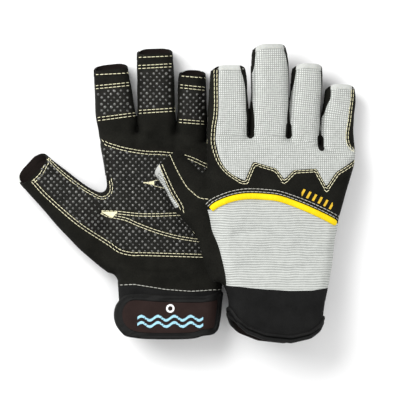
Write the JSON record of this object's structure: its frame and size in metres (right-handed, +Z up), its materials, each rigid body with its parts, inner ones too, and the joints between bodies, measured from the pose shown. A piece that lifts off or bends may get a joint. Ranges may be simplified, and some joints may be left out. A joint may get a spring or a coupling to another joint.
{
  "type": "pair of sailing gloves",
  "caption": "Pair of half-finger sailing gloves with reinforced grip palms, stretch mesh backs and hook-and-loop wrist straps, lying overlapped.",
  "frame": {"origin": "bottom centre of the box round the pair as it lies", "axes": "+X from the left glove's thumb to the right glove's little finger, +Y from the cuffs to the fingertips, +Z up"},
  "size_m": [0.2339, 0.2088, 0.0503],
  "materials": {
    "grey_mesh": "satin",
    "black_suede": "matte",
    "black_knit": "matte",
    "black_neoprene": "matte",
    "yellow_piping": "satin",
    "grip_print": "semi-gloss",
    "brown_label": "satin",
    "hook_tape": "matte"
  },
  "bodies": {
    "left_hand": {"left_back_upper": "grey_mesh", "left_knuckle_band": "black_suede", "left_piping": "yellow_piping", "left_back_lower": "grey_mesh", "left_palm_panel": "black_suede", "left_thumb_root": "black_suede", "left_palm_grip": "grip_print", "left_cuff": "black_neoprene", "left_cuff_binding": "black_knit", "left_loop_pad": "black_knit", "left_strap_root": "black_neoprene"},
    "left_strap_tab": {"left_strap": "black_neoprene", "left_strap_binding": "black_knit", "left_strap_label": "brown_label", "left_hook_pad": "hook_tape"},
    "left_thumb": {"left_thumb_back": "grey_mesh", "left_thumb_sleeve": "black_suede", "left_thumb_grip": "grip_print"},
    "left_index": {"left_index_back": "grey_mesh", "left_index_sleeve": "black_suede", "left_index_grip": "grip_print"},
    "left_middle": {"left_middle_back": "grey_mesh", "left_middle_sleeve": "black_suede", "left_middle_grip": "grip_print"},
    "left_ring": {"left_ring_back": "grey_mesh", "left_ring_sleeve": "black_suede", "left_ring_grip": "grip_print"},
    "left_little": {"left_little_back": "grey_mesh", "left_little_sleeve": "black_suede", "left_little_grip": "grip_print"},
    "right_hand": {"right_back_upper": "grey_mesh", "right_knuckle_band": "black_suede", "right_piping": "yellow_piping", "right_back_lower": "grey_mesh", "right_palm_panel": "black_suede", "right_thumb_root": "black_suede", "right_palm_grip": "grip_print", "right_cuff": "black_neoprene", "right_cuff_binding": "black_knit", "right_loop_pad": "black_knit", "right_strap_root": "black_neoprene"},
    "right_strap_tab": {"right_strap": "black_neoprene", "right_strap_binding": "black_knit", "right_strap_label": "brown_label", "right_hook_pad": "hook_tape"},
    "right_thumb": {"right_thumb_back": "grey_mesh", "right_thumb_sleeve": "black_suede", "right_thumb_grip": "grip_print"},
    "right_index": {"right_index_back": "grey_mesh", "right_index_sleeve": "black_suede", "right_index_grip": "grip_print"},
    "right_middle": {"right_middle_back": "grey_mesh", "right_middle_sleeve": "black_suede", "right_middle_grip": "grip_print"},
    "right_ring": {"right_ring_back": "grey_mesh", "right_ring_sleeve": "black_suede", "right_ring_grip": "grip_print"},
    "right_little": {"right_little_back": "grey_mesh", "right_little_sleeve": "black_suede", "right_little_grip": "grip_print"}
  },
  "joints": [
    {"name": "right_glove_lift", "type": "slide", "parent": "left_hand", "child": "right_hand", "axis": [0, 0, 1], "range_m": [0, 0.12]},
    {"name": "left_thumb_fold", "type": "hinge", "parent": "left_hand", "child": "left_thumb", "pos_m": [-0.08034, -0.00749, 0.0107], "axis": [0.5807, 0.8141, 0], "range_deg": [0, 50]},
    {"name": "left_index_fold", "type": "hinge", "parent": "left_hand", "child": "left_index", "pos_m": [-0.04863, 0.05125, 0.00865], "axis": [0.9947, 0.1031, 0], "range_deg": [0, 70]},
    {"name": "left_middle_fold", "type": "hinge", "parent": "left_hand", "child": "left_middle", "pos_m": [-0.02036, 0.0513, 0.00871], "axis": [0.9996, 0.0287, 0], "range_deg": [0, 70]},
    {"name": "left_ring_fold", "type": "hinge", "parent": "left_hand", "child": "left_ring", "pos_m": [0.00415, 0.0478, 0.0084], "axis": [0.9999, -0.0169, 0], "range_deg": [0, 70]},
    {"name": "left_little_fold", "type": "hinge", "parent": "left_hand", "child": "left_little", "pos_m": [0.02785, 0.0415, 0.00662], "axis": [1, -0.0056, 0], "range_deg": [0, 5]},
    {"name": "right_thumb_fold", "type": "hinge", "parent": "right_hand", "child": "right_thumb", "pos_m": [0.00298, 0.00143, 0.03784], "axis": [0.5931, 0.7924, -0.1424], "range_deg": [0, 25]},
    {"name": "right_index_fold", "type": "hinge", "parent": "right_hand", "child": "right_index", "pos_m": [0.02963, 0.0485, 0.02993], "axis": [0.9724, 0.0039, -0.2334], "range_deg": [0, 35]},
    {"name": "right_middle_fold", "type": "hinge", "parent": "right_hand", "child": "right_middle", "pos_m": [0.05923, 0.0485, 0.02288], "axis": [0.9723, 0.0123, -0.2334], "range_deg": [0, 35]},
    {"name": "right_ring_fold", "type": "hinge", "parent": "right_hand", "child": "right_ring", "pos_m": [0.08325, 0.044, 0.01681], "axis": [0.9723, -0.0071, -0.2334], "range_deg": [0, 35]},
    {"name": "right_little_fold", "type": "hinge", "parent": "right_hand", "child": "right_little", "pos_m": [0.1056, 0.0387, 0.01091], "axis": [0.9722, -0.0191, -0.2334], "range_deg": [0, 35]},
    {"name": "left_strap_open", "type": "hinge", "parent": "left_hand", "child": "left_strap_tab", "pos_m": [0.02258, -0.0845, 0.02182], "axis": [0.1226, 0.9915, -0.0434], "range_deg": [0, 75]},
    {"name": "right_strap_open", "type": "hinge", "parent": "right_hand", "child": "right_strap_tab", "pos_m": [0.09324, -0.0845, 0.00959], "axis": [-0.1645, -0.9847, 0.0578], "range_deg": [0, 85]}
  ]
}
